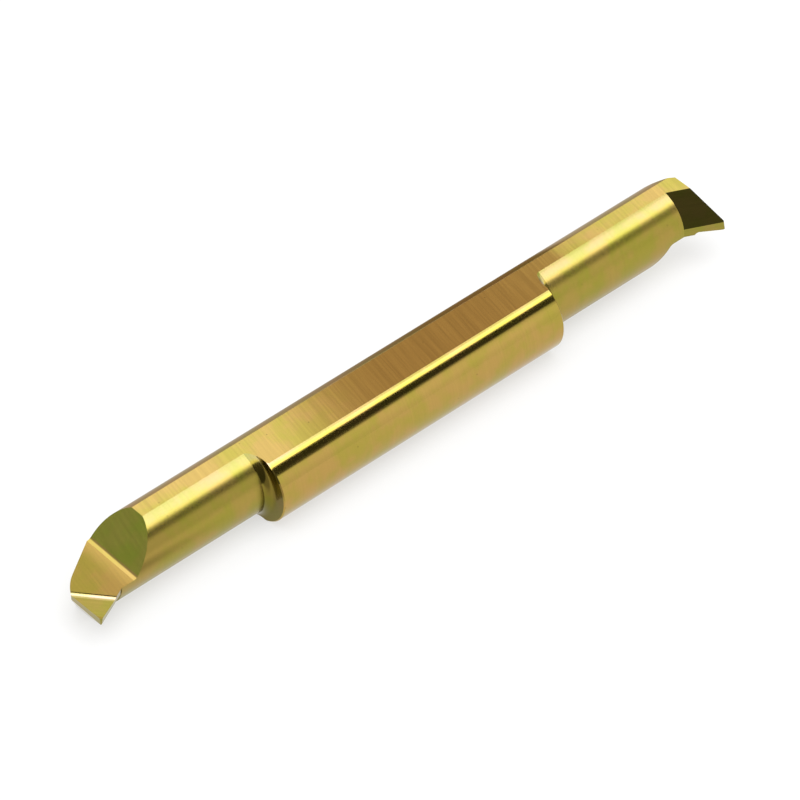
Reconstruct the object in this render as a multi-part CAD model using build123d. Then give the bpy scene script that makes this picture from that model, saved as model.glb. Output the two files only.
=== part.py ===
from build123d import *
import os
from math import atan, cos, degrees, radians, sin, tan

# Double-ended boring bar: one ground rod of solid carbide with a cutting tip at each end. Millimetres.
# Frame: the origin is on the shank's axis, halfway along the bar. +X runs along the bar, +Z is square
# to the upper clamping flat, and -Y is the side that both noses point to.
# Both ends are the same grind, half a turn about Y apart: the tip at -X has its rake face up, and the
# tip at +X has its rake face down. Every shape below is given for the end at -X, rake face up.

# Rod and shank
overall_length = 74.0
shank_diameter = 8.0
shank_length = 33.2      # between the two shoulders
across_flats = 7.1       # over the two clamping flats, which run the whole length

# Necks, ground round an axis that lies behind the shank's own
neck_radius = 3.7
neck_offset = 1.5        # from the shank's axis to the necks' axis, towards +Y
shoulder_radius = 0.8    # wheel corner left at the foot of each shoulder
rim_chamfer = 0.1        # on the round edge of each shoulder

# Head, seen square to its rake face
head_length = 3.7        # from the front edge to the neck
nose_reach = 3.95        # from the shank's axis to the nose
nose_radius = 0.2
rake_length = 5.3        # level rake face
ramp_angle = 50.0        # slope from the rake face up to the clamping flat
ramp_radius = 0.6        # wheel corner in the fold between the two
slant_start = 0.1        # where the back slant leaves the front edge, behind the shank's axis
slant_radius = 5.0       # round stretch that turns the front edge into the back slant
slant_entry = 60.0       # angle to the shank's axis where that stretch begins
slant_angle = 33.0       # angle to the shank's axis of the straight stretch after it

# Clearance faces below the cutting edges; angles are to the vertical
land_clearance = 9.0     # first face, all round
slant_clearance = 4.0    # below the back slant
front_land = 0.9         # height of the first face at the front
front_clearance = 28.0   # second face at the front
side_land = 0.8          # height of the first face at the side
side_clearance = 40.5    # second face at the side

# Chip-breaker across the rake face: a slope down from the nose, then a round bottom and a back wall
breaker_radius = 0.45
breaker_depth = 0.22
breaker_slope = 6.0      # angle of the slope to the rake face
breaker_angle = 49.0     # angle of the groove to the shank's axis
breaker_start = 0.05     # where its lowest line meets the front edge, in front of the shank's axis

shank_radius = shank_diameter / 2
flat_height = across_flats / 2
front = -overall_length / 2
shoulder = -shank_length / 2
neck_reach = neck_radius - neck_offset
side_angle = degrees(atan((nose_reach - neck_reach) / head_length))
past = shank_diameter    # how far each waste shape reaches outside the rod


def slope(angle):
    """Sideways step for one step along, at an angle in degrees."""
    return tan(radians(angle))


def plan(*points):
    """Closed shape on the rake face's level, from points (behind the front edge, in front of the axis)."""
    return make_face(Polyline(*[(front + behind, -out) for behind, out in points], close=True))


def side_view(*points):
    """Closed shape on the bar's long section, from points (behind the front edge, height)."""
    return Plane.XZ * make_face(Polyline(*[(front + behind, up) for behind, up in points], close=True))


def rod():
    """Ground rod with its two clamping flats."""
    round_rod = Rot(0, 90, 0) * Cylinder(shank_radius, overall_length)
    return round_rod & Box(overall_length, shank_diameter, across_flats)


def head_block():
    """Room for all of the head, from ahead of the front edge to the neck, below the rake face."""
    room = Box(past, 3 * past, past, align=(Align.MAX, Align.CENTER, Align.MAX))
    return Pos(front + head_length, 0, 0) * room


def neck_waste():
    """Ring that comes off round the neck's own axis, from the head to the shoulder."""
    inner = neck_offset + neck_radius
    start = front + head_length
    corners = (start, inner), (shoulder, inner), (shoulder, inner + past), (start, inner + past)
    ring = make_face(Polyline(*corners, close=True))
    foot = ring.vertices().sort_by_distance((shoulder, inner, 0))[0]
    return revolve(fillet(foot, shoulder_radius), Axis((0, neck_offset, 0), (1, 0, 0)))


def rake_waste():
    """Everything above the rake face and above the ramp behind it."""
    ramp_end = rake_length + past / slope(ramp_angle)
    section = side_view((-past, 0), (rake_length, 0), (ramp_end, past), (-past, past))
    fold = section.vertices().sort_by_distance((front + rake_length, 0, 0))[0]
    return extrude(fillet(fold, ramp_radius), amount=past, both=True)


def land_waste():
    """What lies outside the first clearance faces of the front edge, the nose and the side edge."""
    back = head_length + past
    outline = plan((0, -past), (0, nose_reach), (back, nose_reach - back * slope(side_angle)), (back, -past))
    nose = outline.vertices().sort_by_distance((front, -nose_reach, 0))[0]
    head = extrude(fillet(nose, nose_radius), amount=-past, taper=land_clearance)
    return head_block() - head


def front_waste():
    """Second clearance face at the front, which leaves the front land above it."""
    lean = slope(front_clearance)
    behind = front_land * slope(land_clearance)
    top = (past + behind) / lean - front_land
    bottom = -past / lean - front_land
    section = side_view((-past, top), (behind + past, bottom), (-past, bottom))
    return extrude(section, amount=past, both=True)


def side_waste():
    """Second clearance face at the side, which leaves the side land above it and ends at the neck."""
    along = Vector(cos(radians(side_angle)), sin(radians(side_angle)), 0)
    outward = Vector(sin(radians(side_angle)), -cos(radians(side_angle)), 0)
    down = Vector(0, 0, -1)
    tilt = radians(side_clearance)
    top = Vector(front, -nose_reach, 0) + down * side_land - outward * side_land * slope(land_clearance)
    face = Plane(origin=top, x_dir=along, z_dir=outward * cos(tilt) + down * sin(tilt))
    beyond = face * Box(4 * past, 4 * past, past, align=(Align.CENTER, Align.CENTER, Align.MIN))
    return beyond & head_block()


def slant_waste():
    """What lies behind the back slant: a round stretch from the front edge, then a straight one."""
    entry, leave = radians(slant_entry), radians(slant_angle)
    begin = Vector(front, slant_start)
    turned = begin + Vector(sin(entry) - sin(leave), cos(leave) - cos(entry)) * slant_radius
    end = turned + Vector(cos(leave), sin(leave)) * past
    ahead = begin - Vector(cos(entry), sin(entry)) * past
    round_stretch = TangentArc(begin, turned, tangent=(cos(entry), sin(entry)))
    rest = Polyline(turned, end, (end.X, 2 * past), (ahead.X, 2 * past), ahead, begin)
    return extrude(make_face(round_stretch + rest), amount=-past, taper=-slant_clearance)


def breaker_waste():
    """Wheel's path across the rake face: its round edge, and above the slope that it leaves."""
    angle, slant = radians(breaker_angle), radians(breaker_slope)
    along = (cos(angle), -sin(angle), 0)
    section = Plane(origin=(front, -breaker_start, 0), x_dir=(sin(angle), cos(angle), 0), z_dir=along)
    middle = Vector(0, breaker_radius - breaker_depth)
    foot = middle - Vector(sin(slant), cos(slant)) * breaker_radius
    top = foot + Vector(-cos(slant), sin(slant)) * past
    above_slope = make_face(Polyline(foot, top, (0, top.Y), middle, close=True))
    round_edge = Pos(middle) * Circle(breaker_radius)
    return extrude(section * (above_slope + round_edge), amount=past, both=True)


def boring_bar():
    """Rod with both ends ground."""
    bar = rod()
    grinds = neck_waste, rake_waste, land_waste, front_waste, side_waste, slant_waste, breaker_waste
    for turn in (0, 180):
        for grind in grinds:
            bar -= Rot(0, turn, 0) * grind()
    rims = bar.edges().filter_by(GeomType.CIRCLE).filter_by(is_rim)
    return chamfer(rims, rim_chamfer)


def is_rim(edge):
    """True for the round edge of a shoulder."""
    on_shoulder = abs(abs(edge.center().X) + shoulder) < 0.001
    return on_shoulder and abs(edge.radius - shank_radius) < 0.001


os.makedirs("parts", exist_ok=True)
export_step(boring_bar(), "parts/boring_bar.step")
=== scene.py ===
# %% [markdown]
# # A double-ended boring bar
#
# The object is one rod of solid carbide, ground at both ends into a small cutting head and coated with a
# thin gold-coloured film. There is nothing to assemble, so the whole lesson is about three things: cutting
# a clean form out of a rod, finishing each ground surface in its own way, and lighting bright metal.

# %% Load the measured model
import math
import bmesh
import bpy
from mathutils import Matrix, Vector


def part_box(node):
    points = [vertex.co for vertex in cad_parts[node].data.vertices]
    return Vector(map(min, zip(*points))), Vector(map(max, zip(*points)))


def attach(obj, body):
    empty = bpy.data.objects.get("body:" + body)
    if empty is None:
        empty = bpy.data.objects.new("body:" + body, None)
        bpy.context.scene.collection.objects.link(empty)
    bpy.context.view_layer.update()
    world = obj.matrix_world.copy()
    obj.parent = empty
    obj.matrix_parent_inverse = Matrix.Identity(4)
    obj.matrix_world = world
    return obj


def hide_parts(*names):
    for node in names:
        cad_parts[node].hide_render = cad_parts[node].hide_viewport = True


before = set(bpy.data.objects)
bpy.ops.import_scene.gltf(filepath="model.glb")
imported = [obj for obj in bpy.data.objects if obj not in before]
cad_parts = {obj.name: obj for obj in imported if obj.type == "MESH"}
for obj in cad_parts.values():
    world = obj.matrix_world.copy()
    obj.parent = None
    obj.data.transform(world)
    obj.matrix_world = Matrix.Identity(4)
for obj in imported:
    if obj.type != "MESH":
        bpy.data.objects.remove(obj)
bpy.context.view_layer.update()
low_corner, high_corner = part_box("boring_bar")
print("the bar measures", [round(1000 * (b - a), 2) for a, b in zip(low_corner, high_corner)], "mm")

# %% [markdown]
# ## Sizes
#
# The measured model is right in size, but its round surfaces are made of flat strips, and polished metal
# would show every one of them. The bar is therefore ground again here from the same sizes, with far finer
# steps. Lengths are in millimetres and become metres at the very end.

# %% Sizes of the bar, in millimetres
MM = 0.001
BAR_LENGTH = (high_corner.x - low_corner.x) / MM
ACROSS_FLATS = (high_corner.z - low_corner.z) / MM
SHANK_RADIUS = 4.0
SHANK_LENGTH = 33.2
NECK_RADIUS = 3.7
NECK_OFFSET = 1.5
SHOULDER_RADIUS = 0.8
RIM_CHAMFER = 0.1
HEAD_LENGTH = 3.7
NOSE_REACH = 3.95
NOSE_RADIUS = 0.2
RAKE_LENGTH = 5.3
RAMP_ANGLE = math.radians(50)
RAMP_RADIUS = 0.6
SLANT_START = 0.1
SLANT_RADIUS = 5.0
SLANT_ENTRY = math.radians(60)
SLANT_ANGLE = math.radians(33)
LAND_CLEARANCE = math.radians(9)
SLANT_CLEARANCE = math.radians(4)
FRONT_LAND = 0.9
FRONT_CLEARANCE = math.radians(28)
SIDE_LAND = 0.8
SIDE_CLEARANCE = math.radians(40.5)
BREAKER_RADIUS = 0.45
BREAKER_DEPTH = 0.22
BREAKER_SLOPE = math.radians(6)
BREAKER_ANGLE = math.radians(49)
BREAKER_START = 0.05

FRONT = -BAR_LENGTH / 2
SHOULDER = -SHANK_LENGTH / 2
NECK_REACH = NECK_RADIUS - NECK_OFFSET
SIDE_ANGLE = math.atan((NOSE_REACH - NECK_REACH) / HEAD_LENGTH)
print("each neck reaches", NECK_REACH, "mm from the shank's axis on the side of the noses")

# %% [markdown]
# ## The shapes that are ground away
#
# A grinder thinks in what is taken off. Each waste shape below is a closed block whose inner side is the
# surface that stays. They are described for one end only, with x counted along the bar from that end's
# front edge, because the other end is the same grind turned half a turn. Every waste reaches well outside
# the rod, and starts a little above the rake face, so that no two surfaces lie in one another.

# %% A block between two outlines
PAST = 9.0
ABOVE_RAKE = 0.1
wastes = []


def keep_waste(name, shape):
    """Turn a shape into an object with its faces outward, and add it to the wastes."""
    bmesh.ops.recalc_face_normals(shape, faces=shape.faces)
    mesh = bpy.data.meshes.new(name)
    shape.to_mesh(mesh)
    shape.free()
    waste = bpy.data.objects.new(name, mesh)
    bpy.context.scene.collection.objects.link(waste)
    wastes.append(waste)
    print(name, "has", len(mesh.polygons), "faces")


def block(name, first, second):
    """Closed mesh between two outlines with the same number of points, given in millimetres."""
    shape = bmesh.new()
    rings = [[shape.verts.new(Vector(point) * MM) for point in outline] for outline in (first, second)]
    shape.faces.new(rings[0])
    shape.faces.new(list(reversed(rings[1])))
    count = len(first)
    for here in range(count):
        after = (here + 1) % count
        shape.faces.new([rings[0][after], rings[0][here], rings[1][here], rings[1][after]])
    keep_waste(name, shape)


def block_across(name, section):
    """Block right across the bar, from a long section's points (behind the front edge, height)."""
    sides = [[(FRONT + behind, side, up) for behind, up in section] for side in (-PAST, PAST)]
    block(name, *sides)


def arc(middle, radius, start, end, steps):
    """Points on an arc round a middle, between two angles."""
    angles = [start + (end - start) * step / steps for step in range(steps + 1)]
    return [(middle[0] + radius * math.cos(a), middle[1] + radius * math.sin(a)) for a in angles]


# %% A ring turned round an axis that runs along the bar
FULL_TURN = 2 * math.pi
ROUND_STEPS = 320


def ring(name, section, axis_behind, start, turn, steps):
    """Section points (place along the bar, distance from the axis) swept round that axis."""
    shape = bmesh.new()
    closed = turn == FULL_TURN
    sweeps = []
    for step in range(steps if closed else steps + 1):
        angle = start + turn * step / steps
        side, up = math.cos(angle), math.sin(angle)
        points = [Vector((x, axis_behind - r * side, r * up)) * MM for x, r in section]
        sweeps.append([shape.verts.new(point) for point in points])
    for one, other in zip(sweeps, sweeps[1:] + sweeps[:1] if closed else sweeps[1:]):
        for here in range(len(section)):
            after = (here + 1) % len(section)
            shape.faces.new([one[here], one[after], other[after], other[here]])
    if not closed:
        shape.faces.new(sweeps[0])
        shape.faces.new(list(reversed(sweeps[-1])))
    keep_waste(name, shape)


# %% [markdown]
# ## Neck and shoulder
#
# The neck is turned round an axis of its own, a little behind the shank's, so the bar stays stiff at the
# back and gives way on the side that must clear the bore. The wheel's rounded corner leaves a radius at
# the foot of the shoulder, and the sharp rim above it is broken by a small chamfer.

# %% Waste round the neck
FOOT_STEPS = 24
SEAM_ANGLE = 0.01  # keeps the ring's seam off the bar's level planes

neck_start = FRONT + HEAD_LENGTH
foot_middle = (SHOULDER - SHOULDER_RADIUS, NECK_RADIUS + SHOULDER_RADIUS)
foot = arc(foot_middle, SHOULDER_RADIUS, -math.pi / 2, 0, FOOT_STEPS)
neck_section = [(neck_start, NECK_RADIUS)] + foot + [(SHOULDER, PAST), (neck_start, PAST)]
ring("neck waste", neck_section, NECK_OFFSET, SEAM_ANGLE, FULL_TURN, ROUND_STEPS)

# %% Waste off the shoulder's rim, which lies on the side of the noses
RIM_SPREAD = math.radians(72)
OUTSIDE_RIM = 0.05

rim_section = [
    (SHOULDER - OUTSIDE_RIM, SHANK_RADIUS - RIM_CHAMFER - OUTSIDE_RIM),
    (SHOULDER + RIM_CHAMFER + OUTSIDE_RIM, SHANK_RADIUS + OUTSIDE_RIM),
    (SHOULDER - OUTSIDE_RIM, SHANK_RADIUS + OUTSIDE_RIM),
]
ring("rim waste", rim_section, 0, -RIM_SPREAD, 2 * RIM_SPREAD, ROUND_STEPS // 2)

# %% [markdown]
# ## Rake face and ramp
#
# Half of the rod's thickness is taken off to leave the level rake face. Behind it the wheel lifts out at
# an angle, and its corner leaves a rounded fold. One long section, swept right across, makes all three.

# %% Waste above the rake face
FOLD_STEPS = 12

fold_reach = RAMP_RADIUS * math.tan(RAMP_ANGLE / 2)
fold_middle = (RAKE_LENGTH - fold_reach, RAMP_RADIUS)
fold = arc(fold_middle, RAMP_RADIUS, -math.pi / 2, RAMP_ANGLE - math.pi / 2, FOLD_STEPS)
ramp_top = (RAKE_LENGTH + PAST / math.tan(RAMP_ANGLE), PAST)
block_across("rake waste", [(-PAST, 0)] + fold + [ramp_top, (-PAST, PAST)])

# %% [markdown]
# ## Clearance faces
#
# Below each cutting edge the metal must fall away, or it would rub. A narrow first face leans back a few
# degrees, and a steeper second one starts under it. The first face follows the outline round the nose, so
# its waste is a block between two outlines that differ by how far the face has leaned in.

# %% First clearance face, round the front edge, the nose and the side edge
NOSE_STEPS = 24
BELOW_LANDS = 1.15  # its waste goes this many times as deep as the taller first face


def land_outline(up):
    """Waste outline at a height, from ahead of the bar to beside it, with the nose's arc inside."""
    inward = -up * math.tan(LAND_CLEARANCE)
    turn = math.pi / 2 + SIDE_ANGLE
    middle = (NOSE_RADIUS, NOSE_REACH - NOSE_RADIUS * math.tan(turn / 2))
    nose = arc(middle, NOSE_RADIUS - inward, math.pi, math.pi - turn, NOSE_STEPS)
    neck_out = NOSE_REACH - HEAD_LENGTH * math.tan(SIDE_ANGLE) - inward / math.cos(SIDE_ANGLE)
    inside = [(inward, -PAST)] + nose + [(HEAD_LENGTH, neck_out)]
    outside = [(HEAD_LENGTH, PAST), (-PAST, PAST), (-PAST, -PAST)]
    return [(FRONT + behind, -out, up) for behind, out in inside + outside]


deepest_land = -BELOW_LANDS * max(FRONT_LAND, SIDE_LAND)
block("land waste", land_outline(ABOVE_RAKE), land_outline(deepest_land))

# %% Second clearance face at the front
land_foot = FRONT_LAND * math.tan(LAND_CLEARANCE)
front_lean = math.tan(FRONT_CLEARANCE)
front_top = (-PAST, (PAST + land_foot) / front_lean - FRONT_LAND)
front_bottom = (land_foot + PAST, -PAST / front_lean - FRONT_LAND)
block_across("front waste", [front_top, front_bottom, (-PAST, front_bottom[1])])

# %% Second clearance face at the side
side_along = Vector((math.cos(SIDE_ANGLE), math.sin(SIDE_ANGLE), 0))
side_outward = Vector((math.sin(SIDE_ANGLE), -math.cos(SIDE_ANGLE), 0))
side_inset = SIDE_LAND * math.tan(LAND_CLEARANCE)
side_foot = Vector((FRONT, -NOSE_REACH, -SIDE_LAND)) - side_outward * side_inset
fall = Vector((0, 0, -math.cos(SIDE_CLEARANCE))) - side_outward * math.sin(SIDE_CLEARANCE)
corners = [side_foot - fall * PAST, side_foot + fall * PAST]
corners.append(corners[1] + side_outward * 2 * PAST)
side_ends = []
for x in (FRONT - PAST, FRONT + HEAD_LENGTH):
    slid = [corner + side_along * (x - corner.x) / side_along.x for corner in corners]
    side_ends.append([(x, corner.y, corner.z) for corner in slid])
block("side waste", *side_ends)

# %% [markdown]
# ## Back slant and chip-breaker
#
# The corner behind the front edge is taken off by a round stretch that runs into a straight slant, so the
# head can enter a bore. The chip-breaker slopes gently down from the nose to a round bottom and a steep
# back wall, which curls the chip over and snaps it.

# %% Waste behind the back slant
SLANT_STEPS = 28
BELOW_ROD = 0.6 * PAST


def slant_outline(up):
    """Waste outline at a height: in from the front, round the arc, and off along the straight slant."""
    inward = -up * math.tan(SLANT_CLEARANCE)
    middle = (SLANT_RADIUS * math.sin(SLANT_ENTRY), SLANT_RADIUS * math.cos(SLANT_ENTRY) - SLANT_START)
    entry, leave = -math.pi / 2 - SLANT_ENTRY, -math.pi / 2 - SLANT_ANGLE
    turned = arc(middle, SLANT_RADIUS - inward, entry, leave, SLANT_STEPS)
    begin, end = turned[0], turned[-1]
    ahead = (begin[0] - PAST * math.cos(SLANT_ENTRY), begin[1] + PAST * math.sin(SLANT_ENTRY))
    away = (end[0] + PAST * math.cos(SLANT_ANGLE), end[1] - PAST * math.sin(SLANT_ANGLE))
    outline = [ahead] + turned + [away, (away[0], -2 * PAST), (ahead[0], -2 * PAST)]
    return [(FRONT + behind, -out, up) for behind, out in outline]


block("slant waste", slant_outline(ABOVE_RAKE), slant_outline(-BELOW_ROD))

# %% The groove: the wheel's round edge and its slope, as one section swept across the rake face
GROOVE_STEPS = 72

groove_along = Vector((math.cos(BREAKER_ANGLE), -math.sin(BREAKER_ANGLE), 0))
groove_beside = Vector((math.sin(BREAKER_ANGLE), math.cos(BREAKER_ANGLE), 0))
groove_start = Vector((FRONT, -BREAKER_START, 0))
groove_middle = (0, BREAKER_RADIUS - BREAKER_DEPTH)
bottom = -math.pi / 2
round_edge = arc(groove_middle, BREAKER_RADIUS, bottom - BREAKER_SLOPE, bottom + math.pi, GROOVE_STEPS)
slope_foot = round_edge[0]
slope_run, slope_rise = PAST * math.cos(BREAKER_SLOPE), PAST * math.sin(BREAKER_SLOPE)
slope_top = (slope_foot[0] - slope_run, slope_foot[1] + slope_rise)
groove_section = [slope_top] + round_edge + [(0, slope_top[1])]
groove_ends = []
for reach in (-PAST, PAST):
    begin = groove_start + groove_along * reach
    groove_ends.append([begin + groove_beside * side + Vector((0, 0, up)) for side, up in groove_section])
block("breaker waste", *groove_ends)

# %% [markdown]
# ## Writing nodes
#
# Node trees are long to click together and short to write. One function adds any node, with its settings
# first and its sockets after. One small class wraps a number's socket, so that plain arithmetic on it adds
# the Math nodes that do it.

# %% One function for nodes, and arithmetic on their numbers
def add_node(tree, kind, settings=None, sockets=None):
    """New node with its settings made first, then its sockets filled with values or links."""
    node = tree.nodes.new(kind)
    for name, value in (settings or {}).items():
        setattr(node, name, value)
    for key, value in (sockets or {}).items():
        for item in value if isinstance(value, list) else [value]:
            source = item.socket if isinstance(item, Number) else item
            if isinstance(source, bpy.types.NodeSocket):
                tree.links.new(source, node.inputs[key])
            else:
                node.inputs[key].default_value = source
    return node


class Number:
    """A number flowing through a node tree; arithmetic on it adds Math nodes."""

    def __init__(self, socket):
        self.socket = socket
        self.tree = socket.id_data

    def math(self, operation, *values):
        kind = "ShaderNodeMath"
        node = add_node(self.tree, kind, {"operation": operation}, dict(enumerate(values)))
        return Number(node.outputs[0])

    def __add__(self, other):
        return self.math("ADD", self, other)

    def __sub__(self, other):
        return self.math("SUBTRACT", self, other)

    def __rsub__(self, other):
        return self.math("SUBTRACT", other, self)

    def __mul__(self, other):
        return self.math("MULTIPLY", self, other)

    __radd__, __rmul__ = __add__, __mul__

    def above(self, edge, soft):
        """0 well below an edge and 1 well above it, rising over a width centred on the edge."""
        start, end = edge - soft / 2, edge + soft / 2
        sockets = {"Value": self, "From Min": start, "From Max": end}
        settings = {"interpolation_type": "SMOOTHSTEP"}
        return Number(add_node(self.tree, "ShaderNodeMapRange", settings, sockets).outputs[0])


# %% [markdown]
# ## Grinding the bar
#
# The whole bar follows a rule: a rod, two clamping flats, and the same grind at each end. That suits
# Geometry Nodes. The tree cuts the rod with the blocks above, then with the same blocks turned half a turn
# round the crosswise axis, which two sign changes do without any rounding. Edges sharper than a wheel's
# own corner are kept crisp and everything else is shaded smooth.
#
# Each waste block carries the finish that its wheel leaves, and the cut face takes it over. So the finishes
# come first. They are only named here, and filled in once the metal is there.

# %% Finishes, named now and filled in later
def new_finish(name):
    return bpy.data.materials.new("coated " + name)


shank_finish, flat_finish, neck_finish = map(new_finish, ("round shank", "clamping flat", "neck"))
shoulder_finish, clearance_finish = map(new_finish, ("shoulder", "clearance face"))
rake_finish, fold_finish, ramp_finish = map(new_finish, ("rake face", "fold", "ramp"))
groove_finish, slope_finish = map(new_finish, ("groove", "nose slope"))
print("finishes named:", [name for name in bpy.data.materials.keys() if name.startswith("coated ")])

# %% [markdown]
# Where one block leaves several kinds of surface, the way each of its faces points tells them apart. Faces
# of the neck point square to the bar and its shoulder's do not. Over the rake face the block's underside
# points straight down, and over the ramp it is tilted by the ramp's angle. The nose slope is known by its
# angle too, and the rounded stretches are what is left.

# %% Which finish each face of a block leaves
NEARLY = 0.0005


def rim_side(normal):
    return shank_finish


def neck_side(normal):
    return neck_finish if abs(normal.x) < NEARLY else shoulder_finish


def rake_side(normal):
    if normal.z < NEARLY - 1:
        return rake_finish
    return ramp_finish if abs(normal.x - math.sin(RAMP_ANGLE)) < NEARLY else fold_finish


def breaker_side(normal):
    return slope_finish if abs(normal.z + math.cos(BREAKER_SLOPE)) < NEARLY else groove_finish


def clearance_side(normal):
    return clearance_finish


choices = {
    "neck waste": neck_side,
    "rim waste": rim_side,
    "rake waste": rake_side,
    "breaker waste": breaker_side,
}

# %% Give the blocks their finishes
grinding = bpy.data.collections.new("grinding wastes")
bpy.context.scene.collection.children.link(grinding)
for waste in wastes:
    choose = choices.get(waste.name, clearance_side)
    for face in waste.data.polygons:
        finish = choose(face.normal)
        if finish.name not in waste.data.materials:
            waste.data.materials.append(finish)
        face.material_index = waste.data.materials.find(finish.name)
    bpy.context.scene.collection.objects.unlink(waste)
    grinding.objects.link(waste)
    print(waste.name, "leaves", [finish.name for finish in waste.data.materials])

# %% [markdown]
# The tree's lengths are inputs, filled in on the modifier that runs it, so that another shank or another
# pair of flats is one changed number. So is crispness: an edge is crisp when its two faces meet at more
# than 12 degrees. The steps of every round stretch meet at less than 5 degrees, so they stay smooth.

# %% The tree that grinds the bar, and its inputs
CRISP_ANGLE = math.radians(12)


def named_input(tree, name, kind, value=None):
    socket = tree.interface.new_socket(name, in_out="INPUT", socket_type="NodeSocket" + kind)
    if value is not None:
        socket.default_value = value
    return socket.identifier


def bar_node(kind, sockets=None, **settings):
    """One Geometry Nodes node in the bar's tree."""
    return add_node(bar_tree, "GeometryNode" + kind, settings, sockets)


bar_tree = bpy.data.node_groups.new("ground bar", "GeometryNodeTree")
bar_tree.interface.new_socket("Geometry", in_out="OUTPUT", socket_type="NodeSocketGeometry")
bar_lengths = {
    "Length": BAR_LENGTH * MM,
    "Shank Radius": SHANK_RADIUS * MM,
    "Across Flats": ACROSS_FLATS * MM,
    "Crisp Edge Angle": CRISP_ANGLE,
}
bar_sockets = {name: named_input(bar_tree, name, "Float", value) for name, value in bar_lengths.items()}
bar_sockets["Round Steps"] = named_input(bar_tree, "Round Steps", "Int", ROUND_STEPS)
bar_sockets["Wastes"] = named_input(bar_tree, "Wastes", "Collection")
given = {socket.name: socket for socket in add_node(bar_tree, "NodeGroupInput").outputs}

# %% [markdown]
# The rod is a cylinder laid along the bar, and the clamping flats are the top and the bottom of a block
# that it shares. The block is twice as long and twice as wide as the rod, so that its other sides cut
# nothing.

# %% Rod and clamping flats
rod_sizes = {"Vertices": given["Round Steps"], "Radius": given["Shank Radius"], "Depth": given["Length"]}
upright_rod = bar_node("MeshCylinder", rod_sizes, fill_type="NGON").outputs["Mesh"]
lying_rod = bar_node("Transform", {"Geometry": upright_rod, "Rotation": (0, math.pi / 2, 0)}).outputs[0]
rod = bar_node("SetMaterial", {"Geometry": lying_rod, "Material": shank_finish}).outputs[0]
flats_sizes = {
    "X": Number(given["Length"]) * 2,
    "Y": Number(given["Shank Radius"]) * 4,
    "Z": given["Across Flats"],
}
flats_size = add_node(bar_tree, "ShaderNodeCombineXYZ", None, flats_sizes).outputs[0]
between_flats = bar_node("MeshCube", {"Size": flats_size}).outputs["Mesh"]
both_blocks = {1: [rod, between_flats]}
flatted_rod = bar_node("MeshBoolean", both_blocks, operation="INTERSECT", solver="EXACT").outputs["Mesh"]

# %% [markdown]
# All wastes come off in one cut, first as they stand and once more with x and z turned over, which is half
# a turn round y. Their finishes come along. What is left over of the rod's own skin is shaded smooth, and
# the flats take their finish last, because no block leaves them.

# %% The same wastes at both ends
all_wastes = {"Collection": given["Wastes"], "Separate Children": True}
wastes_at_end = bar_node("CollectionInfo", all_wastes).outputs[0]
half_turned = bar_node("Transform", {"Geometry": wastes_at_end, "Scale": (-1, 1, -1)}).outputs[0]
cuts = {0: flatted_rod, 1: [wastes_at_end, half_turned]}
ground = bar_node("MeshBoolean", cuts, operation="DIFFERENCE", solver="EXACT").outputs["Mesh"]

# %% Smooth faces and crisp edges
smoothed = {"Geometry": ground, "Shade Smooth": True}
smooth = bar_node("SetShadeSmooth", smoothed, domain="FACE").outputs[0]
edge_angle = Number(bar_node("InputMeshEdgeAngle").outputs["Unsigned Angle"])
is_crisp = edge_angle.math("GREATER_THAN", edge_angle, given["Crisp Edge Angle"])
crisped = {"Geometry": smooth, "Selection": is_crisp, "Shade Smooth": False}
crisp = bar_node("SetShadeSmooth", crisped, domain="EDGE").outputs[0]

# %% The finish of the flats, on every face as high or as low as they lie
ALMOST_HALF = 0.4999


def split(tree, vector):
    """The X, Y and Z numbers of a vector's socket."""
    outputs = add_node(tree, "ShaderNodeSeparateXYZ", None, {"Vector": vector}).outputs
    return [Number(socket) for socket in outputs]


height = split(bar_tree, bar_node("InputPosition").outputs[0])[2]
flat_level = Number(given["Across Flats"]) * ALMOST_HALF
on_flats = height.math("GREATER_THAN", height.math("ABSOLUTE", height), flat_level)
whole = bar_node("RealizeInstances", {"Geometry": crisp}).outputs[0]
finished = {"Geometry": whole, "Selection": on_flats, "Material": flat_finish}
finished = bar_node("SetMaterial", finished).outputs[0]
add_node(bar_tree, "NodeGroupOutput", None, {"Geometry": finished})
print("the grinding tree has", len(bar_tree.nodes), "nodes")

# %% [markdown]
# ## From tree to metal
#
# The tree's result is turned into a plain mesh. Weighted normals let the large level faces stay perfectly
# level to the eye where they run into a rounded fold. A ground bar is one closed body, so the mesh is
# searched for open edges, and its volume is printed to compare with the measured model's.

# %% Evaluate the tree and keep a plain mesh
blank = bpy.data.objects.new("blank", bpy.data.meshes.new("blank"))
bpy.context.scene.collection.objects.link(blank)
grinder = blank.modifiers.new("ground bar", "NODES")
grinder.node_group = bar_tree
for name, value in bar_lengths.items():
    grinder[bar_sockets[name]] = value
grinder[bar_sockets["Round Steps"]] = ROUND_STEPS
grinder[bar_sockets["Wastes"]] = grinding
level = blank.modifiers.new("level faces", "WEIGHTED_NORMAL")
level.mode, level.weight, level.keep_sharp = "FACE_AREA", 90, True
evaluated = blank.evaluated_get(bpy.context.evaluated_depsgraph_get())
bar_mesh = bpy.data.meshes.new_from_object(evaluated)
bar_mesh.name = "ground bar"
bar = bpy.data.objects.new("ground_bar", bar_mesh)
bpy.context.scene.collection.objects.link(bar)

# %% Clear the workshop and measure the bar
bpy.data.objects.remove(blank)
for waste in wastes:
    bpy.data.objects.remove(waste)
bpy.data.collections.remove(grinding)
bpy.data.node_groups.remove(bar_tree)

check = bmesh.new()
check.from_mesh(bar_mesh)
open_edges = sum(1 for edge in check.edges if not edge.is_manifold)
volume = check.calc_volume() / MM**3
check.free()
print("ground bar:", len(bar_mesh.polygons), "faces,", open_edges, "open edges,", round(volume, 1), "mm3")
print("finishes on it:", [material and material.name for material in bar_mesh.materials])

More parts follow.
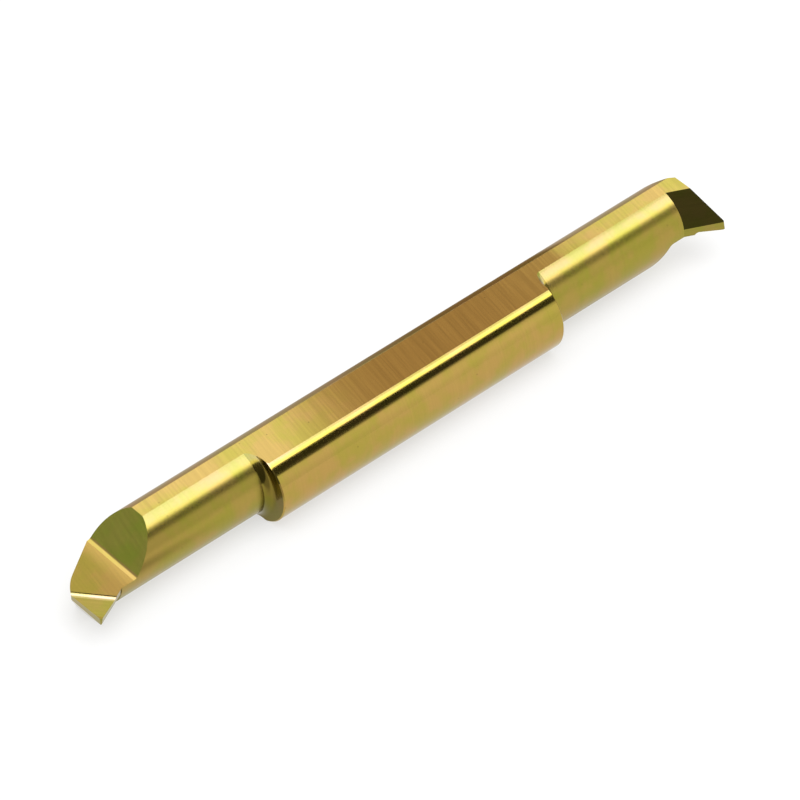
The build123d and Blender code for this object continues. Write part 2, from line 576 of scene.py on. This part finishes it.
# %% [markdown]
# ## The coating
#
# The gold colour is a ceramic film a few thousandths of a millimetre thick, so it follows every mark that
# the wheels left. It is built as a metal whose colour wanders gently between a greener and a warmer gold,
# as such a film does. Each ground surface has its own roughness and its own direction of fine marks: they
# are one noise, stretched far along the wheel's path and squeezed across it. A few tiny specks are left,
# as droplets from the coating furnace leave them.

# %% Colours, and a way to mix them
GREEN_GOLD = (0.40, 0.31, 0.055)
WARM_GOLD = (0.47, 0.30, 0.08)


def shade(colour, painted_shade):
    """Colour times a painted shade, which is one number or one for each channel."""
    tones = painted_shade if isinstance(painted_shade, tuple) else (painted_shade,) * 3
    return (*[channel * share for channel, share in zip(colour, tones)], 1)


def mixed_colour(tree, factor, first, second):
    sockets = {0: factor, 6: first, 7: second}
    return add_node(tree, "ShaderNodeMix", {"data_type": "RGBA"}, sockets).outputs[2]


def scaled_colour(tree, colour, scale):
    settings = {"operation": "SCALE"}
    return add_node(tree, "ShaderNodeVectorMath", settings, {0: colour, "Scale": scale}).outputs[0]


def mapped(tree, vector, **changes):
    """A place turned by angles or stretched by factors."""
    sockets = {"Vector": vector, **changes}
    return add_node(tree, "ShaderNodeMapping", None, sockets).outputs[0]


# %% The film's colour, and its specks
CLOUDS = {"Scale": 0.35, "Detail": 3, "Roughness": 0.6}
SPECKS = {"Scale": 0.5}
SPECK_EDGE, SPECK_SOFT = 0.03, 0.03


def clouded_gold(tree, per_mm, painted_shade, change):
    """Gold that wanders between two tones, darkened by a painted shade, and takes a painted gold where the
    change says.
    """
    cloud = Number(add_node(tree, "ShaderNodeTexNoise", None, {"Vector": per_mm, **CLOUDS}).outputs["Fac"])
    gold = mixed_colour(tree, cloud.above(0.5, 0.3), shade(GREEN_GOLD, painted_shade), shade(WARM_GOLD, painted_shade))
    if change:
        where, other_gold = change
        along_bar = split(tree, per_mm)[0]
        gold = mixed_colour(tree, where(along_bar), gold, (*other_gold, 1))
    return gold


def specks(tree, per_mm):
    """1 inside the tiny specks and 0 between them."""
    cells = add_node(tree, "ShaderNodeTexVoronoi", None, {"Vector": per_mm, **SPECKS})
    return 1 - Number(cells.outputs["Distance"]).above(SPECK_EDGE, SPECK_SOFT)


# %% A coated finish with its wheel marks
MARKS = {"Scale": 1, "Detail": 3}
SPECK_DARKNESS = 0.4
ROUGHNESS_SWING = 0.04


def coat(material, roughness, turn, stretch, depth, painted_shade=1.0, streak=0.3, change=None):
    """Coated metal with painted shade, and painted reflection where a change is given; the marks' noise is
    turned by three angles and stretched per millimetre.
    """
    material.use_nodes = True
    tree = material.node_tree
    tree.nodes.clear()
    place = add_node(tree, "ShaderNodeTexCoord").outputs["Object"]
    per_mm = mapped(tree, place, Scale=(1 / MM, 1 / MM, 1 / MM))
    lines = mapped(tree, mapped(tree, per_mm, Rotation=turn), Scale=stretch)
    mark = Number(add_node(tree, "ShaderNodeTexNoise", None, {"Vector": lines, **MARKS}).outputs["Fac"])
    gold = clouded_gold(tree, per_mm, painted_shade, change)
    darkening = 1 - specks(tree, per_mm) * SPECK_DARKNESS
    brightness = (mark * streak + (1 - streak / 2)) * darkening
    relief = {"Strength": 1.0, "Distance": depth * MM, "Height": mark}
    surface = {
        "Base Color": scaled_colour(tree, gold, brightness),
        "Metallic": 1.0,
        "Roughness": mark * ROUGHNESS_SWING + (roughness - ROUGHNESS_SWING / 2),
        "Normal": add_node(tree, "ShaderNodeBump", None, relief).outputs[0],
    }
    metal = add_node(tree, "ShaderNodeBsdfPrincipled", None, surface)
    add_node(tree, "ShaderNodeOutputMaterial", None, {"Surface": metal.outputs[0]})
    print(material.name, "has roughness", roughness, "and marks", depth, "mm deep")


# %% [markdown]
# A painted reflection makes the film's gold browner on the flats over the middle of the shank. A painted
# sheen makes the rake face brighter towards the fold behind it.

# %% Where the painted reflection and the painted sheen lie along the bar, in millimetres
PAINTED_REFLECTION_GOLD = (0.33, 0.205, 0.044)
PAINTED_SHEEN_GOLD = (0.42, 0.26, 0.062)
PAINTED_REFLECTION_START, PAINTED_REFLECTION_END = -8.5, 20.3
PAINTED_SHEEN_START = -FRONT - RAKE_LENGTH + 0.8


# Painted reflection: 1 over the middle of the shank, where the flats' gold is painted browner.
def painted_reflection_middle(along_bar):
    return along_bar.above(PAINTED_REFLECTION_START, 12) - along_bar.above(PAINTED_REFLECTION_END, 1.2)


# Painted sheen: 1 from the fold inward, fading to 0 towards the front edge; it paints the rake face
# brighter by the fold.
def painted_sheen_near_fold(along_bar):
    from_middle = along_bar.math("ABSOLUTE", along_bar)
    return 1 - from_middle.above(PAINTED_SHEEN_START, 2.4)


# %% [markdown]
# Each face now gets its finish. The shank, the necks and the shoulders were ground while the bar turned, so
# their marks run round it. The flats, the rake face, the fold and the ramp were crossed by a wheel, the
# groove and the nose slope carry marks along the groove, and those of the clearance faces run level. The
# shank, the flats and the clearance faces are the smoothest. The tones are painted shade: each face's gold
# is darkened, lightened or tinted to the shade that its reflections show.

# %% Every finish on the bar
no_turn = (0, 0, 0)
round_marks = no_turn, (6, 0.05, 0.05)
level_marks = no_turn, (0.3, 0.3, 6)
cross_marks = (0, 0, math.radians(-80)), (0.15, 5, 1)
groove_marks = (0, 0, BREAKER_ANGLE), (0.2, 5, 5)
# The browner middle of the flats is a painted reflection, the brighter rake face by the fold is a painted
# sheen, and every tone below is painted shade.
painted_reflection, painted_sheen = (painted_reflection_middle, PAINTED_REFLECTION_GOLD), (painted_sheen_near_fold, PAINTED_SHEEN_GOLD)
coat(shank_finish, 0.10, *round_marks, 0.0001, streak=0.15)
coat(neck_finish, 0.25, *round_marks, 0.0002, painted_shade=(0.83, 0.92, 0.76), streak=0.2)
coat(shoulder_finish, 0.14, *round_marks, 0.0003, painted_shade=(0.46, 0.52, 0.36))
coat(flat_finish, 0.07, *cross_marks, 0.0001, streak=0.45, change=painted_reflection)
coat(rake_finish, 0.20, *cross_marks, 0.0004, painted_shade=(0.60, 0.55, 0.46), change=painted_sheen)
coat(groove_finish, 0.16, *groove_marks, 0.0003, painted_shade=(0.9, 0.95, 1.3))
coat(slope_finish, 0.16, *groove_marks, 0.0003, painted_shade=(0.59, 0.63, 0.45))
coat(fold_finish, 0.16, *cross_marks, 0.0004, painted_shade=1.1)
coat(ramp_finish, 0.25, *cross_marks, 0.0006, painted_shade=(0.87, 1.18, 0.70))
coat(clearance_finish, 0.10, *level_marks, 0.0003, painted_shade=(0.68, 0.8, 0.72))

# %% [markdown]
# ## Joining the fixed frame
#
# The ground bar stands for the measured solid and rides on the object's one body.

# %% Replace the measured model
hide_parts("boring_bar")
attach(bar, "root")

# %% [markdown]
# ## Floor
#
# The bar lies on its lower clamping flat on a plain white sheet. To the camera and in the metal the sheet
# is partly a plain white, so the background stays white while the bar keeps its shadow.

# %% A sheet at the height of the lower flat
SHEET_REACH = 3.0

sheet_corners = [(x * SHEET_REACH, y * SHEET_REACH) for x, y in ((-1, -1), (1, -1), (1, 1), (-1, 1))]
sheet_shape = bmesh.new()
sheet_shape.faces.new([sheet_shape.verts.new((x, y, -ACROSS_FLATS / 2 * MM)) for x, y in sheet_corners])
sheet_mesh = bpy.data.meshes.new("sheet")
sheet_shape.to_mesh(sheet_mesh)
sheet_shape.free()
floor = bpy.data.objects.new("sheet", sheet_mesh)
bpy.context.scene.collection.objects.link(floor)
paper = bpy.data.materials.new("white sheet")
paper.use_nodes = True
table = paper.node_tree
table.nodes.clear()
floor.data.materials.append(paper)
print("the sheet lies", round(ACROSS_FLATS / 2, 2), "mm below the shank's axis")

# %% [markdown]
# Metal that lies on paper throws a cast of its own colour onto it. Here that cast is painted into the sheet
# as the metal reflects it: behind the bar in brown, most of all behind the middle. In front of the left
# head the reflected sheet is painted half as bright, a painted dark reflection that makes the clearance
# faces there stand out from the rake face. Only reflections see either painted patch: on the paper itself
# such a cast is too faint to notice. Places on the sheet are in metres.

# %% The painted reflections that the metal sees in the sheet near the bar
WHITE = (1, 1, 1, 1)
PAINTED_BROWN_GLOW = (0.28, 0.19, 0.09, 1)
PAINTED_GLOW_AT_ENDS = 0.57
PAINTED_GLOW_LEAN = 0.65
BEHIND_FROM, BEHIND_TO = 0.008, 0.15
MIDDLE_FROM, MIDDLE_TO = -0.008, 0.019
PAINTED_DIMMING = 0.5
DIM_LEFT_OF, DIM_IN_FRONT_OF = -0.022, -0.007

rays = {name: Number(socket) for name, socket in add_node(table, "ShaderNodeLightPath").outputs.items()}
in_metal = rays["Is Glossy Ray"]
spot_along, spot_back = split(table, add_node(table, "ShaderNodeTexCoord").outputs["Object"])[:2]
behind = spot_back.above(BEHIND_FROM, 0.006) - spot_back.above(BEHIND_TO, 0.05)
beside_bar = spot_along - spot_back * PAINTED_GLOW_LEAN
middle = beside_bar.above(MIDDLE_FROM, 0.03) - beside_bar.above(MIDDLE_TO, 0.004)
# The brown behind the bar is a painted reflection, seen by the metal only.
painted_glow = in_metal * behind * (middle * (1 - PAINTED_GLOW_AT_ENDS) + PAINTED_GLOW_AT_ENDS)
painted_sheet_colour = mixed_colour(table, painted_glow, WHITE, PAINTED_BROWN_GLOW)
# The dimmer sheet in front of the left head is a painted dark reflection, seen by the metal only.
painted_dim_front_left = (1 - spot_along.above(DIM_LEFT_OF, 0.012)) * (1 - spot_back.above(DIM_IN_FRONT_OF, 0.006))
painted_brightness = 1 - in_metal * painted_dim_front_left * PAINTED_DIMMING
print("beside the bar's ends the glow is", PAINTED_GLOW_AT_ENDS, "times as strong as behind its middle")

# %% Paper that is partly a plain white
PAPER = 0.9
PLAIN_SHARE = 0.6

seen = rays["Is Camera Ray"] + in_metal + rays["Is Transmission Ray"]
matt_colour = scaled_colour(table, painted_sheet_colour, painted_brightness * PAPER)
matt = add_node(table, "ShaderNodeBsdfDiffuse", None, {"Color": matt_colour})
plain = add_node(table, "ShaderNodeEmission", None, {"Color": painted_sheet_colour, "Strength": painted_brightness})
shares = {0: seen.math("MINIMUM", seen, 1.0) * PLAIN_SHARE, 1: matt.outputs[0], 2: plain.outputs[0]}
both = add_node(table, "ShaderNodeMixShader", None, shares)
add_node(table, "ShaderNodeOutputMaterial", None, {"Surface": both.outputs[0]})
print("where the sheet is seen,", PLAIN_SHARE, "of it is a plain white")

# %% [markdown]
# ## Light
#
# Polished metal has no colour of its own beyond a tint: it shows the room. So the room is arranged round
# the bar's length. A long soft box hangs above it, a black card stands in front of that to give the dark
# line next to the highlight, and pale walls close the rest. The room is drawn by direction in the world,
# and only the metal sees it; everything else gets one even fill.
#
# Two numbers describe a direction well for a long round object. One is how far it points along the bar.
# The other is its climb, the angle round the bar: 0 is level in front, 90 is straight up and 180 is level
# behind. On a ground cylinder an edge at one climb shows as one straight line down the bar.

# %% Directions in the room
world = bpy.data.worlds.new("studio")
bpy.context.scene.world = world
world.use_nodes = True
room = world.node_tree
room.nodes.clear()
along, back, up = split(room, add_node(room, "ShaderNodeTexCoord").outputs["Generated"])
climb = up.math("ARCTAN2", up, back * -1) * math.degrees(1)
print("the directions take", len(room.nodes), "nodes")

# %% [markdown]
# The camera is near enough for each part of the bar to show its own stretch of the room, and the further
# right the part lies, the further along that stretch is: near 0.45 for the left neck, 0.46 to 0.52 for the
# shank and near 0.53 for the right neck. So small flags can be hung for one part alone. Over the shank
# the black card starts higher and the soft box ends sooner, and over the right neck the box ends a little
# sooner too. Their edges were moved until each change fell at a shoulder. The left ends of both walls are
# dark, so that faces turned that way stand out.

# %% Where the card and the box start and end, in degrees of climb
SHANK_FROM, SHANK_TO = 0.468, 0.53  # directions that point this far along are given to the shank
CARD_START, CARD_RAISED = 32.5, 8
BOX_START, BOX_END = 57, 100
BOX_CUT_OVER_SHANK, BOX_CUT_OVER_NECK = 34, 12

over_right_neck = along.above(SHANK_TO, 0.01)
over_shank = along.above(SHANK_FROM, 0.006) - over_right_neck
card_raised = (along.above(0.49, 0.07) - over_right_neck) * CARD_RAISED
card_from = (climb - card_raised).above(CARD_START, 5)
box_from = climb.above(BOX_START, 2)
box_cut = climb + over_shank * BOX_CUT_OVER_SHANK + over_right_neck * BOX_CUT_OVER_NECK
box_to = box_cut.above(BOX_END, 3)
near_left = 1 - along.above(0.36, 0.3)
far_left = 1 - along.above(-0.45, 0.3)
print("over the shank the card starts at", CARD_START + CARD_RAISED, "degrees")
print("and the box runs from", BOX_START, "to", BOX_END - BOX_CUT_OVER_SHANK, "degrees")

# %% [markdown]
# The near wall grows a little brighter upward, as a wall under a lamp does. The card is nearly black, with
# a faint gleam on its left and a strong one past the right neck, which the right head shows. The soft box
# is by far the brightest thing in the room.

# %% How bright each part of the room is
NEAR_WALL, BLACK_CARD, SOFT_BOX, FAR_WALL = 1.08, 0.05, 3.8, 1.8
NEAR_LEFT_DARKER, FAR_LEFT_DARKER = 0.9, 0.75
NEAR_TOP_BRIGHTER = 0.12
CARD_LEFT_GLEAM, CARD_RIGHT_GLEAM, GLEAM_FADES_BY = 0.09, 0.9, 0.5

near_wall = (1 - near_left * NEAR_LEFT_DARKER) * (climb.above(14, 20) * NEAR_TOP_BRIGHTER + 1)
gleam = along.above(0.56, 0.02) * CARD_RIGHT_GLEAM - along.above(0.61, 0.04) * GLEAM_FADES_BY
card = near_left * CARD_LEFT_GLEAM + gleam + BLACK_CARD
brightness = (1 - card_from) * near_wall * NEAR_WALL
brightness = brightness + (card_from - box_from) * card + (box_from - box_to) * SOFT_BOX
brightness = brightness + box_to * (1 - far_left * FAR_LEFT_DARKER) * FAR_WALL
print("the soft box is", round(SOFT_BOX / NEAR_WALL, 1), "times as bright as the near wall")

# %% [markdown]
# The light has its own tint in each part of the room. The film swallows most of the blue, so a highlight
# on it only looks white where the light is much bluer than white: the front rim of the soft box is warm
# and its core is cool. Overhead, a little behind the bar, hangs a dim brown patch with straight edges. The
# level clamping flat shows it, as a darker stretch with a straight end. A direction's place on a level
# ceiling is its way along divided by its way up, which is what keeps that end straight.

# %% The tint of each part of the room
NEAR_TINT, RIM_TINT = (0.97, 1, 0.95, 1), (0.97, 1, 0.9, 1)
CORE_TINT, FAR_TINT = (0.92, 1, 2.3, 1), (0.98, 1.07, 1.2, 1)
PATCH_TINT = (0.53, 0.44, 0.46, 1)
PATCH_SKEW = 0.2

ceiling_along = along.math("DIVIDE", along + back * PATCH_SKEW, up)
patch = (along.above(0.476, 0.014) - ceiling_along.above(0.9275, 0.003)) * climb.above(112, 6)
tint = mixed_colour(room, box_from, NEAR_TINT, RIM_TINT)
tint = mixed_colour(room, climb.above(66, 10), tint, CORE_TINT)
tint = mixed_colour(room, box_to, tint, FAR_TINT)
tint = mixed_colour(room, patch, tint, PATCH_TINT)
print("the box's core holds", round(CORE_TINT[2] / RIM_TINT[2], 1), "times as much blue as its rim")

# %% The room for metal, and an even fill for everything else
reflected = add_node(room, "ShaderNodeBackground", None, {"Color": tint, "Strength": brightness})
fill = add_node(room, "ShaderNodeBackground", None, {"Color": WHITE, "Strength": 1.0})
glossy = add_node(room, "ShaderNodeLightPath").outputs["Is Glossy Ray"]
choice = {0: glossy, 1: fill.outputs[0], 2: reflected.outputs[0]}
shown = add_node(room, "ShaderNodeMixShader", None, choice)
add_node(room, "ShaderNodeOutputWorld", None, {"Surface": shown.outputs[0]})
print("the whole room takes", len(room.nodes), "nodes")

# %% [markdown]
# A single large lamp above and a little in front gives the sheet its soft shadow. It stands where the soft
# box is drawn, so it is hidden from the metal, which would otherwise show the box twice.

# %% Soft lamp
lamp = bpy.data.lights.new("soft box", "AREA")
lamp.shape, lamp.size, lamp.size_y, lamp.energy = "RECTANGLE", 0.9, 0.6, 3.0
lamp_stand = bpy.data.objects.new("soft box", lamp)
lamp_stand.location = (0.0, -0.1, 0.8)
lamp_stand.rotation_euler = Vector(lamp_stand.location).to_track_quat("Z", "Y").to_euler()
lamp_stand.visible_glossy = False
bpy.context.scene.collection.objects.link(lamp_stand)
print("lamp power", lamp.energy, "W")

# %% [markdown]
# ## Camera
#
# A long lens from well back keeps the far end of the bar nearly as large as the near one. The camera looks
# at the bar's middle from the left, from the front and from above, and leans a little to one side. A small
# shift of the frame centres the bar without turning the camera.

# %% Camera
TOWARD_CAMERA = Vector((-0.48983, -0.52120, 0.69886)).normalized()
CAMERA_DISTANCE = 0.45556
CAMERA_LEAN = math.radians(1.46)

camera = bpy.data.cameras.new("camera")
camera.lens, camera.sensor_width = 233.27, 36.0
camera.clip_start, camera.clip_end = 0.01, 20.0
camera.shift_x, camera.shift_y = 0.00466, -0.00871
tripod = bpy.data.objects.new("camera", camera)
aim = TOWARD_CAMERA.to_track_quat("Z", "Y").to_matrix().to_4x4() @ Matrix.Rotation(CAMERA_LEAN, 4, "Z")
tripod.matrix_world = Matrix.Translation(TOWARD_CAMERA * CAMERA_DISTANCE) @ aim
bpy.context.scene.collection.objects.link(tripod)
bpy.context.scene.camera = tripod
bpy.context.scene.view_settings.view_transform = "Standard"
print("camera stands", round(tripod.location.length, 3), "m from the bar's middle")
